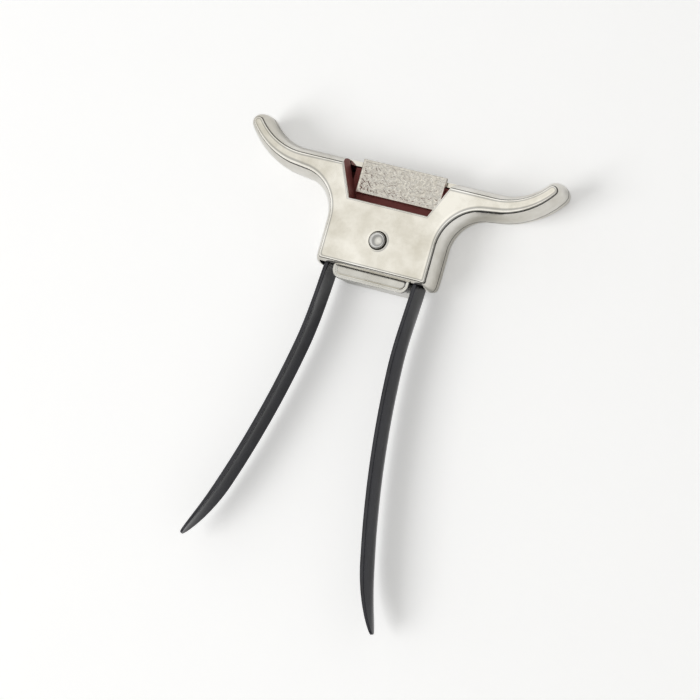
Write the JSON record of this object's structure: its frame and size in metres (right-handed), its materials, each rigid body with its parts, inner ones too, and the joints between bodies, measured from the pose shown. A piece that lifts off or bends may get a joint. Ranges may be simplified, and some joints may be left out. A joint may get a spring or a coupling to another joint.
{
  "type": "wine bottle opener",
  "caption": "Cork puller with a hollow T-shaped metal handle, a cap-lifting notch with a knurled pad, and a pair of slim dark prongs of unequal length on pins.",
  "frame": {"origin": "middle of the flat back face that the opener lies on, on the handle's mid plane", "axes": "+X across the handle towards the long prong's side, +Y up the handle and away from the prongs, +Z out of the front face"},
  "size_m": [0.0734, 0.1029, 0.0121],
  "materials": {
    "plated_shell": "polished bright plating",
    "plated_casting": "tumbled bright plating",
    "knurled_plate": "stippled matt",
    "polished_rivet": "polished",
    "dark_spring_steel": "blackened satin",
    "bright_pin": "drawn wire"
  },
  "bodies": {
    "handle": {"front_shell": "plated_shell", "back_shell": "plated_shell", "blade_carrier": "plated_casting", "knurled_pad": "knurled_plate", "center_rivet": "polished_rivet", "long_prong_pin": "bright_pin", "short_prong_pin": "bright_pin"},
    "long_prong": {"long_prong": "dark_spring_steel"},
    "short_prong": {"short_prong": "dark_spring_steel"}
  },
  "joints": [
    {"name": "long_prong_pivot", "type": "hinge", "parent": "handle", "child": "long_prong", "pos_m": [0.0083, -0.00195, 0.0055], "axis": [0, 0, 1], "range_deg": [-2, 4]},
    {"name": "short_prong_pivot", "type": "hinge", "parent": "handle", "child": "short_prong", "pos_m": [-0.0083, -0.00195, 0.0055], "axis": [0, 0, -1], "range_deg": [-3.5, 2]}
  ]
}
